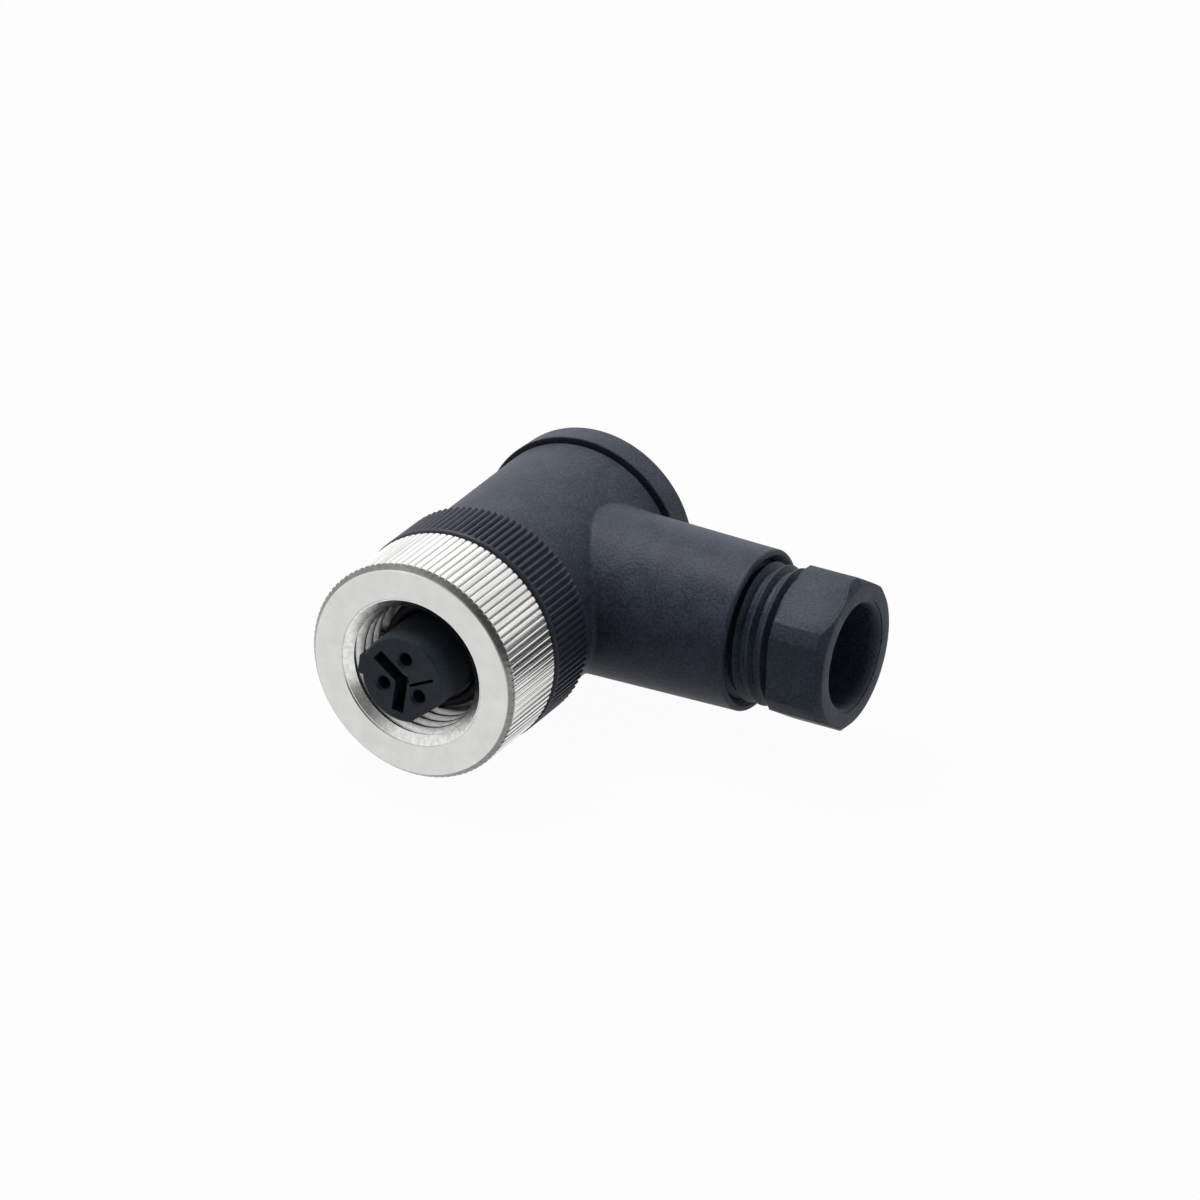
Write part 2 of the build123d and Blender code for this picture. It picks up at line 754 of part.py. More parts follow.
# Washer between the cage and the cable seal
with BuildPart() as thrust_washer:
    with BuildSketch(Plane.YZ.offset(washer_start_x)):
        with Locations((branch_y, 0)):
            Circle(cage_flange_radius)
            Circle(washer_bore_radius, mode=Mode.SUBTRACT)
    extrude(amount=washer_thickness)
thrust_washer.part.label = "thrust_washer"
export_step(thrust_washer.part, "parts/thrust_washer.step")

# Rubber seal that grips the cable
with BuildPart() as cable_seal:
    with BuildSketch(branch_profile_plane):
        with BuildLine():
            Polyline(
                (cable_seal_start_x, cable_seal_bore_radius),
                (cable_seal_start_x, cable_seal_radius - cable_seal_chamfer),
                (cable_seal_start_x + cable_seal_chamfer, cable_seal_radius),
                (cable_seal_end_x - cable_seal_chamfer, cable_seal_radius),
                (cable_seal_end_x, cable_seal_radius - cable_seal_chamfer),
                (cable_seal_end_x, cable_seal_bore_radius),
                close=True,
            )
        make_face()
    revolve(axis=branch_axis)
cable_seal.part.label = "cable_seal"
export_step(cable_seal.part, "parts/cable_seal.step")
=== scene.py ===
from math import atan2, cos, hypot, pi, radians, sin, tau

import bmesh
import bpy
from mathutils import Matrix, Vector


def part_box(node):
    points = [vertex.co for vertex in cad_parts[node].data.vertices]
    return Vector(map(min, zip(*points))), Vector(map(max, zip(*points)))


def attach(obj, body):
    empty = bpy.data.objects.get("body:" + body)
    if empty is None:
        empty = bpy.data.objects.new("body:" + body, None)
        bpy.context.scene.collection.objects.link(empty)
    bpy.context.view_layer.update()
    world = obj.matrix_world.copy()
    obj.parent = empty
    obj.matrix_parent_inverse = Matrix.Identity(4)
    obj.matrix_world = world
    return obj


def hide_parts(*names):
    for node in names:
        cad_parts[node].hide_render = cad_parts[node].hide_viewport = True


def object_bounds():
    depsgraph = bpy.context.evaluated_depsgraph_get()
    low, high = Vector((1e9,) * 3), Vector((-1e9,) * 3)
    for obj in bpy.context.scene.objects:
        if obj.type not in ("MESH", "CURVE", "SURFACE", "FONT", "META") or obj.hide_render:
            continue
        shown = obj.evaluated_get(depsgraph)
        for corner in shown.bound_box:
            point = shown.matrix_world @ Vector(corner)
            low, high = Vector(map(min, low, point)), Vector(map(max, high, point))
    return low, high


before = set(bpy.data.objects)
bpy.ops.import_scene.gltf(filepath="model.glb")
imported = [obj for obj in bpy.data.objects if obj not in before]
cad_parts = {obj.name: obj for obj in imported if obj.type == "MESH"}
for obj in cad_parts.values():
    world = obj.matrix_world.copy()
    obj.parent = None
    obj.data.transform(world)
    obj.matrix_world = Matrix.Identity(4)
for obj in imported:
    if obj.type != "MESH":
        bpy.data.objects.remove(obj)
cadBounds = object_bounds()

# An angled female cable connector with a knurled coupling ring and a hexagon cable gland.
# Metres: +Y runs back along the mating axis, +X out along the cable branch, +Z up.

mm = 0.001
smoothAngle = radians(28)
sharpAngle = radians(35)
nearby = 0.01 * mm  # how far a point may lie from the place that it is picked by
weldGap = 0.002 * mm  # points this close are one point


def boxOf(nodeName):  # lowest and highest corner of a frame node
    low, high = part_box(nodeName)
    return Vector(low), Vector(high)


ringHigh = boxOf("coupling_ring")[1]
unionLow, unionHigh = boxOf("union_ring")
capLow, capHigh = boxOf("rear_cap")
glandLow, glandHigh = boxOf("gland_screw")
washerLow, washerHigh = boxOf("thrust_washer")

branchY = (washerLow.y + washerHigh.y) / 2  # where the branch axis crosses the mating axis
matingLine = {"centre": (0, 0, 0), "axis": (0, 1, 0), "letter": "Y"}
branchLine = {"centre": (0, branchY, 0), "axis": (1, 0, 0), "letter": "X"}


def deselectAll():
    if bpy.context.object and bpy.context.object.mode != "OBJECT":
        bpy.ops.object.mode_set(mode="OBJECT")
    bpy.ops.object.select_all(action="DESELECT")


def chooseOnly(piece):
    deselectAll()
    piece.select_set(True)
    bpy.context.view_layer.objects.active = piece


def selectPoints(piece, test):  # vertices by their place, in edit mode
    bpy.ops.mesh.select_mode(type="VERT")
    bpy.ops.mesh.select_all(action="DESELECT")
    editMesh = bmesh.from_edit_mesh(piece.data)
    for vertex in editMesh.verts:
        if test(vertex.co):
            vertex.select_set(True)
    bmesh.update_edit_mesh(piece.data)


def selectEdges(piece, test):  # edges by the places of their ends, in edit mode
    bpy.ops.mesh.select_mode(type="EDGE")
    bpy.ops.mesh.select_all(action="DESELECT")
    editMesh = bmesh.from_edit_mesh(piece.data)
    for edge in editMesh.edges:
        if test(edge.verts[0].co, edge.verts[1].co):
            edge.select_set(True)
    bmesh.update_edit_mesh(piece.data)


def drawProfile(name, points):  # a chain of edges drawn out of one point, left in edit mode
    deselectAll()
    bpy.ops.mesh.primitive_plane_add(size=mm)
    piece = bpy.context.object
    piece.name = name
    piece.data.name = name
    bpy.ops.object.mode_set(mode="EDIT")
    bpy.ops.mesh.select_mode(type="VERT")
    bpy.ops.mesh.select_all(action="SELECT")
    bpy.ops.mesh.merge(type="CENTER")
    bpy.ops.transform.translate(value=points[0])
    for before, after in zip(points, points[1:]):
        bpy.ops.mesh.extrude_region_move(TRANSFORM_OT_translate={"value": after - before})
    return piece


def onLine(line, radius, along):  # a profile point in the plane through the axis
    if line is matingLine:
        return Vector((radius, along, 0))
    return Vector((along, branchY, radius))


def quarterTurn(steps):  # angles from 0 to 90 degrees
    return [pi / 2 * step / steps for step in range(steps + 1)]


def turn(name, line, outline, steps):  # a turned piece: (radius, along) pairs spun about its axis
    points = [onLine(line, radius, along) for radius, along in outline]
    if outline[0][0] > 0 or outline[-1][0] > 0:
        points.append(points[0])
    piece = drawProfile(name, points)
    bpy.ops.mesh.select_all(action="SELECT")
    bpy.ops.mesh.spin(steps=steps, angle=tau, center=line["centre"], axis=line["axis"])
    bpy.ops.mesh.select_all(action="SELECT")
    bpy.ops.mesh.remove_doubles(threshold=weldGap)
    bpy.ops.mesh.normals_make_consistent(inside=False)
    bpy.ops.object.mode_set(mode="OBJECT")
    return piece


def addModifier(piece, kind, **settings):  # added and applied at once
    chooseOnly(piece)
    modifier = piece.modifiers.new(kind.lower(), kind)
    for key, value in settings.items():
        setattr(modifier, key, value)
    bpy.ops.object.modifier_apply(modifier=modifier.name)


def cut(piece, cutter, operation="DIFFERENCE"):
    addModifier(piece, "BOOLEAN", object=cutter, operation=operation, solver="EXACT")
    bpy.data.objects.remove(cutter, do_unlink=True)


def soften(piece, width):  # rounds the sharp edges
    addModifier(
        piece, "BEVEL", width=width, segments=2, limit_method="ANGLE", angle_limit=sharpAngle,
        use_clamp_overlap=True, harden_normals=False,
    )


def join(pieces):
    deselectAll()
    for piece in pieces:
        piece.select_set(True)
    bpy.context.view_layer.objects.active = pieces[0]
    bpy.ops.object.join()
    return pieces[0]


def helix(name, line, section, pitch, turns, start, startAngle, stepsPerTurn=96):
    # a ridge of closed section wound right-handed about the axis, its first section at start
    points = [onLine(line, radius, along) - Vector(line["centre"]) for radius, along in section]
    points.append(points[0])
    piece = drawProfile(name, points)
    bpy.ops.mesh.select_all(action="SELECT")
    bpy.ops.mesh.remove_doubles(threshold=weldGap)
    bpy.ops.object.mode_set(mode="OBJECT")
    steps = int(stepsPerTurn * turns)
    addModifier(
        piece, "SCREW", axis=line["letter"], angle=tau * turns, screw_offset=pitch * turns,
        steps=steps, render_steps=steps, use_merge_vertices=False,
    )
    chooseOnly(piece)
    bpy.ops.object.mode_set(mode="EDIT")
    bpy.ops.mesh.select_mode(type="EDGE")
    bpy.ops.mesh.select_all(action="DESELECT")
    bpy.ops.mesh.select_non_manifold()
    bpy.ops.mesh.fill_holes(sides=0)
    bpy.ops.mesh.select_all(action="SELECT")
    bpy.ops.mesh.normals_make_consistent(inside=False)
    bpy.ops.transform.rotate(
        value=-startAngle, orient_axis=line["letter"], center_override=(0, 0, 0)
    )
    offset = Vector(line["axis"]) * start + Vector(line["centre"])
    bpy.ops.transform.translate(value=offset)
    bpy.ops.object.mode_set(mode="OBJECT")
    return piece


def columnOf(point, columns):  # number of the knurl column that a point stands on
    return round(atan2(point.z, point.x) / tau * columns) % columns


def cutKnurl(piece, columns, perTooth, depths, ends, radius):
    # depths gives the columns of a tooth to push in by each depth, ends the (y, slope) of each groove end
    chooseOnly(piece)
    bpy.ops.object.mode_set(mode="EDIT")
    for depth, rootColumns in depths.items():
        for endY, slope in ends:
            selectPoints(
                piece,
                lambda p: abs(p.y - endY) < nearby
                and abs(hypot(p.x, p.z) - radius) < nearby
                and columnOf(p, columns) % perTooth in rootColumns,
            )
            scale = (radius - depth) / radius
            bpy.ops.transform.resize(value=(scale, 1, scale), center_override=(0, 0, 0))
            bpy.ops.transform.translate(value=(0, slope * depth, 0))
    bpy.ops.object.mode_set(mode="OBJECT")


def roundCrests(piece, columns, perTooth, crestColumns, radius, width):
    # rounds the long edges that run along the crest columns of every tooth
    chooseOnly(piece)
    bpy.ops.object.mode_set(mode="EDIT")
    selectEdges(
        piece,
        lambda a, b: abs(a.y - b.y) > mm
        and hypot(a.x, a.z) > radius - nearby
        and hypot(b.x, b.z) > radius - nearby
        and columnOf(a, columns) == columnOf(b, columns)
        and columnOf(a, columns) % perTooth in crestColumns,
    )
    bpy.ops.mesh.bevel(offset=width, segments=2, affect="EDGES")
    bpy.ops.object.mode_set(mode="OBJECT")


def finishPiece(piece, material, body, slot, *nodes):
    chooseOnly(piece)
    bpy.ops.object.transform_apply(location=True, rotation=True, scale=True)
    bpy.ops.object.shade_smooth_by_angle(angle=smoothAngle)
    piece.data.materials.clear()
    piece.data.materials.append(material)
    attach(piece, body)
    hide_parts(*nodes)


def linear(hexText):  # an sRGB hex colour as linear numbers
    parts = [int(hexText[i:i + 2], 16) / 255 for i in (1, 3, 5)]
    return tuple(p / 12.92 if p <= 0.04045 else ((p + 0.055) / 1.055) ** 2.4 for p in parts) + (1.0,)


def addNode(owner, kind, sockets=None, **settings):  # owner is a material or the world
    made = owner.node_tree.nodes.new(kind)
    for key, value in settings.items():
        setattr(made, key, value)
    for socketName, value in (sockets or {}).items():
        if isinstance(value, bpy.types.NodeSocket):
            owner.node_tree.links.new(value, made.inputs[socketName])
        else:
            made.inputs[socketName].default_value = value
    return made


def connect(owner, node, outputs):  # outputs by the names of the node's sockets that take them
    for socketName, output in outputs.items():
        owner.node_tree.links.new(output, node.inputs[socketName])


def noise(owner, place, size, detail, roughness=0.5):
    sockets = {"Vector": place, "Scale": 1 / size, "Detail": detail, "Roughness": roughness}
    return addNode(owner, "ShaderNodeTexNoise", sockets).outputs["Fac"]


def calculate(owner, operation, *values):
    return addNode(owner, "ShaderNodeMath", dict(enumerate(values)), operation=operation).outputs["Value"]


def remap(owner, value, before, after, **settings):  # one range of numbers carried to another
    sockets = {
        "Value": value, "From Min": before[0], "From Max": before[1],
        "To Min": after[0], "To Max": after[1],
    }
    return addNode(owner, "ShaderNodeMapRange", sockets, **settings).outputs["Result"]


def mixNumbers(owner, factor, low, high):
    sockets = {"Factor": factor, "A": low, "B": high}
    return addNode(owner, "ShaderNodeMix", sockets, data_type="FLOAT").outputs["Result"]


def mixColours(owner, factor, low, high):
    sockets = {"Factor": factor, 6: low, 7: high}  # sockets that share their names with the numbers'
    return addNode(owner, "ShaderNodeMix", sockets, data_type="RGBA").outputs[2]


def ramp(owner, factor, lowStop, highStop):  # stops as (position, hex colour)
    made = addNode(owner, "ShaderNodeValToRGB", {"Fac": factor})
    for element, (position, hexText) in zip(made.color_ramp.elements, (lowStop, highStop)):
        element.position = position
        element.color = linear(hexText)
    return made.outputs["Color"]


def bump(owner, height, strength, distance, under=None):  # under is the relief that it is added to
    sockets = {"Height": height, "Strength": strength, "Distance": distance}
    if under:
        sockets["Normal"] = under
    return addNode(owner, "ShaderNodeBump", sockets).outputs["Normal"]


def objectPlace(material):
    return addNode(material, "ShaderNodeTexCoord").outputs["Object"]


def newMaterial(name, sockets):
    material = bpy.data.materials.new(name)
    material.use_nodes = True
    surface = material.node_tree.nodes["Principled BSDF"]
    for socketName, value in sockets.items():
        surface.inputs[socketName].default_value = value
    return material, surface


def grainedNylon(name, lowHex, highHex, shine, roughness, grain, depth):
    # moulded glass-filled nylon from a spark-eroded mould: dark, matt, with a fine even grain
    material, surface = newMaterial(name, {"IOR": 1.53, "Specular IOR Level": shine})
    place = objectPlace(material)
    speckle = noise(material, place, size=grain, detail=3.0, roughness=0.6)
    cloud = noise(material, place, size=2.5 * mm, detail=4.0)
    tone = mixNumbers(material, 0.3, speckle, cloud)
    connect(material, surface, {
        "Base Color": ramp(material, tone, (0.42, lowHex), (0.58, highHex)),
        "Roughness": remap(material, speckle, (0, 1), (roughness - 0.06, roughness + 0.08)),
        "Normal": bump(material, speckle, strength=0.8, distance=depth),
    })
    return material


def nickelBrass(look):
    # nickel-plated brass: a satin face with faint tool rings, a chattered mouth, a streaky rolled knurl,
    # and painted shade in the knurl grooves and on the front chamfer
    material, surface = newMaterial("nickelPlatedBrass", {"Metallic": 1.0})
    place = objectPlace(material)
    apart = addNode(material, "ShaderNodeSeparateXYZ", {"Vector": place})
    along = apart.outputs["Y"]
    across = addNode(material, "ShaderNodeCombineXYZ", {"X": apart.outputs["X"], "Y": apart.outputs["Z"]})
    radial = addNode(material, "ShaderNodeVectorMath", {0: across.outputs["Vector"]}, operation="LENGTH")
    reach = radial.outputs["Value"]

    # masks: off the front face, inside the mouth, groove floors and front chamfer that get painted shade,
    # front of the mouth
    middle = (look["mouthRadius"] + look["faceRadius"]) / 2
    half = (look["faceRadius"] - look["mouthRadius"]) / 2
    fromMiddle = calculate(material, "ABSOLUTE", calculate(material, "SUBTRACT", reach, middle))
    offFace = remap(material, fromMiddle, (half, half + look["fade"]), (0, 1))
    mouthFade = (look["mouthRadius"], look["mouthRadius"] + look["fade"])
    inside = remap(material, reach, mouthFade, (1, 0))
    # painted shade: the knurl groove floors are darkened towards half tone, standing in for the shade
    # between the teeth
    grooveFade = (look["knurlRadius"], look["knurlRadius"] + look["grooveFade"])
    grooveShadePaint = remap(material, reach, grooveFade, (look["paintedGrooveShade"], 1))
    # painted shade: the front chamfer is darkened to under a third of its tone
    chamferFade = (look["chamferLength"] - look["chamferFade"], look["chamferLength"])
    chamferShadePaint = remap(material, along, chamferFade, (look["paintedChamferShade"], 1))
    shallow = remap(material, along, (0.6 * look["chatterDepth"], look["chatterDepth"]), (1, 0))
    chattered = calculate(material, "MULTIPLY", inside, shallow)

    # colour: a smudged face, and a streaked knurl with painted shade darkening its grooves and its
    # chamfer
    smudge = noise(material, place, size=look["smudgeSize"], detail=5.0, roughness=0.65)
    faceTone = ramp(material, smudge, (0.3, "#d3d3d0"), (0.7, "#e0e0de"))
    stretch = (1, look["streakStretch"], 1)
    drawn = addNode(material, "ShaderNodeMapping", {"Vector": place, "Scale": stretch}).outputs["Vector"]
    streaks = noise(material, drawn, size=look["streakWidth"], detail=3.0, roughness=0.65)
    streakTone = ramp(material, streaks, (0.38, "#d8d8d5"), (0.6, "#eeeeec"))
    tone = mixColours(material, offFace, faceTone, streakTone)
    # the painted shade of the grooves and chamfer scales the colour off the face, and not inside the
    # mouth
    paintedCreaseShade = calculate(material, "MINIMUM", grooveShadePaint, chamferShadePaint)
    paintedShadeFactor = mixNumbers(material, offFace, 1.0, calculate(material, "MAXIMUM", paintedCreaseShade, inside))
    toneWithPaintedShade = addNode(material, "ShaderNodeVectorMath", {0: tone, "Scale": paintedShadeFactor}, operation="SCALE")

    # gloss: satin all over, polished on the knurl and a little in the chattered mouth
    satin = remap(material, smudge, (0, 1), (0.26, 0.4))
    rolled = remap(material, reach, (look["faceRadius"], look["knurlRadius"]), (0, 1))
    gloss = calculate(material, "MULTIPLY", satin, remap(material, rolled, (0, 1), (1.0, 0.75)))

    # relief: tool rings, pits and chatter
    lathe = addNode(material, "ShaderNodeCombineXYZ", {"X": calculate(material, "ADD", along, reach)})
    rings = noise(material, lathe.outputs["Vector"], size=look["toolPitch"], detail=4.0, roughness=0.7)
    pits = noise(material, place, size=look["pitSize"], detail=2.0)
    chatter = noise(material, place, size=look["chatterSize"], detail=3.0)
    ringRelief = bump(material, rings, strength=0.25, distance=0.006 * mm)
    pitRelief = bump(material, pits, strength=0.2, distance=0.01 * mm, under=ringRelief)

    connect(material, surface, {
        "Base Color": toneWithPaintedShade.outputs["Vector"],
        "Roughness": calculate(material, "MULTIPLY_ADD", chattered, -0.08, gloss),
        "Normal": bump(material, chatter, strength=chattered, distance=0.0022 * mm, under=pitRelief),
    })
    return material


def platedMetal(name, lowHex, highHex, roughness, grain):
    # small turned and stamped metal parts: clean plating over fine drawn marks
    material, surface = newMaterial(name, {"Metallic": 1.0})
    marks = noise(material, objectPlace(material), size=grain, detail=4.0, roughness=0.6)
    connect(material, surface, {
        "Base Color": ramp(material, marks, (0.3, lowHex), (0.7, highHex)),
        "Roughness": remap(material, marks, (0, 1), (roughness - 0.05, roughness + 0.1)),
        "Normal": bump(material, marks, strength=0.2, distance=0.01 * mm),
    })
    return material


def sealRubber():
    # moulded nitrile rubber: near black, dull, with a soft bloom
    material, surface = newMaterial("nitrileRubber", {"IOR": 1.52, "Roughness": 0.68})
    bloom = noise(material, objectPlace(material), size=0.6 * mm, detail=5.0)
    connect(material, surface, {
        "Base Color": ramp(material, bloom, (0.3, "#121214"), (0.75, "#202124")),
        "Normal": bump(material, bloom, strength=0.3, distance=0.02 * mm),
    })
    return material


metal = nickelBrass({
    "mouthRadius": 6.9 * mm, "faceRadius": ringHigh.x - 0.5 * mm, "knurlRadius": ringHigh.x - 0.2 * mm,
    # the groove and chamfer shades are painted shade: how dark the knurl grooves and front chamfer are
    # made
    "fade": 0.08 * mm, "grooveFade": 0.14 * mm, "paintedGrooveShade": 0.5,
    "chamferLength": 0.6 * mm, "chamferFade": 0.04 * mm, "paintedChamferShade": 0.3,
    "smudgeSize": 1.6 * mm, "streakWidth": 0.5 * mm, "streakStretch": 0.05,
    "toolPitch": 0.12 * mm, "pitSize": 0.15 * mm, "chatterSize": 0.22 * mm, "chatterDepth": 1.1 * mm,
})
housingNylon = grainedNylon(
    "grainedHousingNylon", "#292d37", "#3d4250",
    shine=0.1, roughness=0.46, grain=0.22 * mm, depth=0.065 * mm,
)
unionNylon = grainedNylon(
    "ribbedRingNylon", "#292d36", "#353945",
    shine=0.12, roughness=0.42, grain=0.2 * mm, depth=0.012 * mm,
)
glandNylon = grainedNylon(
    "glandNylon", "#262d36", "#38414c",
    shine=0.1, roughness=0.46, grain=0.24 * mm, depth=0.06 * mm,
)
insertNylon = grainedNylon(
    "insertNylon", "#212931", "#2b353f",
    shine=0.17, roughness=0.42, grain=0.2 * mm, depth=0.008 * mm,
)
gold = platedMetal("goldFlashedBrass", "#9c7a3a", "#c09c50", roughness=0.34, grain=0.3 * mm)
steel = platedMetal("zincPlatedSteel", "#9a9b98", "#b9bab6", roughness=0.32, grain=0.25 * mm)
rubber = sealRubber()
print("materials made")

# Coupling ring: lathe profile, then each groove is pushed in along one column of points
ring = {
    "teeth": 98, "columns": 5, "rootColumns": (4,), "crestColumns": (0, 3),
    "grooveDepth": 0.2 * mm, "crestBevel": 0.03 * mm, "edge": 0.04 * mm,
    "chamferLength": 0.6 * mm, "chamferDepth": 0.5 * mm, "rearChamfer": 0.2 * mm,
    "mouthRadius": 6.87 * mm, "stepRadius": 6.74 * mm, "stepDepth": 0.12 * mm,
    "coneRadius": 6.0 * mm, "coneDepth": 0.64 * mm, "neckRadius": 5.15 * mm, "lipLength": 1.15 * mm,
    "threadStart": 1.1 * mm, "threadLead": 0.1 * mm, "threadTurns": 3.6, "threadAngle": -40,
    "rootRadius": 6.36 * mm, "pitch": 1.27 * mm,
    "threadSection": [
        (6.55 * mm, -0.52 * mm), (5.74 * mm, -0.14 * mm), (5.7 * mm, -0.09 * mm),
        (5.7 * mm, 0.09 * mm), (5.74 * mm, 0.14 * mm), (6.55 * mm, 0.63 * mm),
    ],
}
ringRadius, ringBack = ringHigh.x, ringHigh.y
ringLip = ringBack - ring["lipLength"]
edge = ring["edge"]
ringOutline = [
    (ring["mouthRadius"] + edge, 0),
    (ringRadius - ring["chamferDepth"] - edge, 0),
    (ringRadius - ring["chamferDepth"], edge),
    (ringRadius, ring["chamferLength"]),
    (ringRadius, ringBack - ring["rearChamfer"]),
    (ringRadius - ring["rearChamfer"], ringBack),
    (ring["neckRadius"] + edge, ringBack),
    (ring["neckRadius"], ringBack - edge),
    (ring["neckRadius"], ringLip),
    (ring["rootRadius"], ringLip),
    (ring["rootRadius"], ring["threadStart"]),
    (ring["coneRadius"], ring["coneDepth"] + edge),
    (ring["coneRadius"], ring["coneDepth"]),
    (ring["stepRadius"], ring["stepDepth"]),
    (ring["mouthRadius"], ring["stepDepth"]),
    (ring["mouthRadius"], edge),
]
ringColumns = ring["teeth"] * ring["columns"]
couplingRing = turn("coupling_ring_metal", matingLine, ringOutline, ringColumns)
ringEnds = [
    (ring["chamferLength"], -ring["chamferLength"] / ring["chamferDepth"]),
    (ringBack - ring["rearChamfer"], 1),
]
ringDepths = {ring["grooveDepth"]: ring["rootColumns"]}
cutKnurl(couplingRing, ringColumns, ring["columns"], ringDepths, ringEnds, ringRadius)
roundCrests(
    couplingRing, ringColumns, ring["columns"], ring["crestColumns"], ringRadius, ring["crestBevel"]
)
ringThread = helix(
    "ringThread", matingLine, ring["threadSection"], ring["pitch"], ring["threadTurns"],
    start=ring["threadStart"] + ring["threadLead"], startAngle=radians(ring["threadAngle"]),
)
couplingRing = join([couplingRing, ringThread])
finishPiece(couplingRing, metal, "coupling_ring", "nickel_brass", "coupling_ring")
print("coupling ring made")

# Union ring: rounded nose, then rounded ribs between V-shaped grooves
union = {
    "ribs": 100, "columns": 7, "sideColumns": (3, 6), "rootColumns": (4, 5), "crestColumns": (0, 2),
    "grooveDepth": 0.3 * mm, "crestBevel": 0.05 * mm, "edge": 0.05 * mm,
    "bandLength": 0.36 * mm, "runOut": 0.3 * mm,
    "noseLength": 0.35 * mm, "noseDepth": 0.35 * mm, "noseSteps": 8,
    "lipLength": 1.15 * mm, "lipRadius": 5.2 * mm, "threadRadius": 8.96 * mm,
}
unionRadius = unionHigh.x
bandEnd = unionLow.y + union["bandLength"]
noseArc = [
    (unionRadius - union["noseDepth"] * (1 - sin(angle)),
     unionLow.y + union["noseLength"] * (1 - cos(angle)))
    for angle in quarterTurn(union["noseSteps"])
]
unionOutline = [(union["lipRadius"], unionLow.y)] + noseArc + [
    (unionRadius, bandEnd),
    (unionRadius, bandEnd + union["runOut"]),
    (unionRadius, unionHigh.y - union["edge"]),
    (unionRadius - union["edge"], unionHigh.y),
    (union["threadRadius"], unionHigh.y),
    (union["threadRadius"], unionLow.y + union["lipLength"]),
    (union["lipRadius"], unionLow.y + union["lipLength"]),
]
unionColumns = union["ribs"] * union["columns"]
unionRing = turn("union_ring_nylon", matingLine, unionOutline, unionColumns)
unionDepths = {
    union["grooveDepth"] / 2: union["sideColumns"],
    union["grooveDepth"]: union["rootColumns"],
}
unionEnds = [(bandEnd + union["runOut"], 0), (unionHigh.y - union["edge"], 0)]
rearEnds = [(unionHigh.y, 0)]
cutKnurl(unionRing, unionColumns, union["columns"], unionDepths, unionEnds, unionRadius)
cutKnurl(unionRing, unionColumns, union["columns"], unionDepths, rearEnds, unionRadius - union["edge"])
roundCrests(
    unionRing, unionColumns, union["columns"], union["crestColumns"], unionRadius, union["crestBevel"]
)
finishPiece(unionRing, unionNylon, "union_ring", "union_nylon", "union_ring")
print("union ring made")

# Rear cap: a turned cup with softened rims
cap = {
    "frontRadius": 9.94 * mm, "rearRadius": 9.84 * mm, "rim": 0.35 * mm, "lipEdge": 0.08 * mm,
    "flangeLength": 2.87 * mm, "plugRadius": 7.9 * mm, "wall": 1.3 * mm, "floor": 1.6 * mm,
    "dishRadius": 7.4 * mm, "dishDepth": 0.3 * mm, "rimSteps": 6, "turnSteps": 256,
}
capFront = capHigh.y - cap["flangeLength"]
capRim = [
    (cap["rearRadius"] - cap["rim"] * (1 - cos(angle)),
     capHigh.y - cap["rim"] * (1 - sin(angle)))
    for angle in quarterTurn(cap["rimSteps"])
]
capOutline = [
    (0, capHigh.y - cap["floor"]),
    (cap["plugRadius"] - cap["wall"], capHigh.y - cap["floor"]),
    (cap["plugRadius"] - cap["wall"], capLow.y),
    (cap["plugRadius"], capLow.y),
    (cap["plugRadius"], capFront),
    (cap["frontRadius"] - cap["lipEdge"], capFront),
    (cap["frontRadius"], capFront + cap["lipEdge"]),
] + capRim + [
    (cap["dishRadius"], capHigh.y),
    (cap["dishRadius"] - cap["dishDepth"], capHigh.y - cap["dishDepth"]),
    (0, capHigh.y - cap["dishDepth"]),
]
rearCap = turn("rear_cap_nylon", matingLine, capOutline, cap["turnSteps"])
finishPiece(rearCap, housingNylon, "rear_cap", "housing_nylon", "rear_cap")
print("rear cap made")

# Gland screw: hexagon head trimmed by a cone, threaded shank, rounded cable mouth
gland = {
    "acrossFlats": 13.0 * mm, "cornerRadius": 7.12 * mm, "cornerAngle": 28.2, "length": 5.3 * mm,
    "endChamfer": 0.65 * mm, "endRadius": 6.45 * mm, "edge": 0.12 * mm, "softening": 0.07 * mm,
    "boreRadius": 4.5 * mm, "funnel": 0.55 * mm, "funnelLength": 1.1 * mm, "funnelSteps": 10,
    "mouthStep": 0.08 * mm, "rootRadius": 5.72 * mm, "shankEnd": 0.3 * mm, "overlap": 0.3 * mm,
    "coneLength": 2.9 * mm, "coneMouth": 5.65 * mm, "coneRim": 0.03 * mm, "coneThroat": 4.9 * mm,
    "throatEdge": 0.2 * mm, "turnSteps": 192,
    "pitch": 1.27 * mm, "undercut": 0.45 * mm, "threadLead": 0.6 * mm, "threadAngle": 200,
    "turnsLeftOut": 0.75,
    "threadSection": [
        (5.68 * mm, -0.5 * mm), (6.16 * mm, -0.13 * mm), (6.23 * mm, -0.08 * mm), (6.25 * mm, 0),
        (6.23 * mm, 0.08 * mm), (6.16 * mm, 0.13 * mm), (5.68 * mm, 0.5 * mm),
    ],
}
glandEnd = glandHigh.x
shoulderX = glandEnd - gland["length"]
shankX = glandLow.x
deselectAll()
bpy.ops.mesh.primitive_cylinder_add(
    vertices=6, radius=gland["acrossFlats"] / 2 / cos(pi / 6), depth=gland["length"],
    location=(shoulderX + gland["length"] / 2, branchY, 0), rotation=(0, pi / 2, 0),
)
glandHead = bpy.context.object
glandHead.name = "gland_screw_nylon"
bpy.ops.object.transform_apply(location=True, rotation=True)
bpy.ops.object.mode_set(mode="EDIT")
bpy.ops.mesh.select_all(action="SELECT")
bpy.ops.transform.rotate(
    value=-radians(gland["cornerAngle"]), orient_axis="X", center_override=(shoulderX, branchY, 0)
)
bpy.ops.object.mode_set(mode="OBJECT")
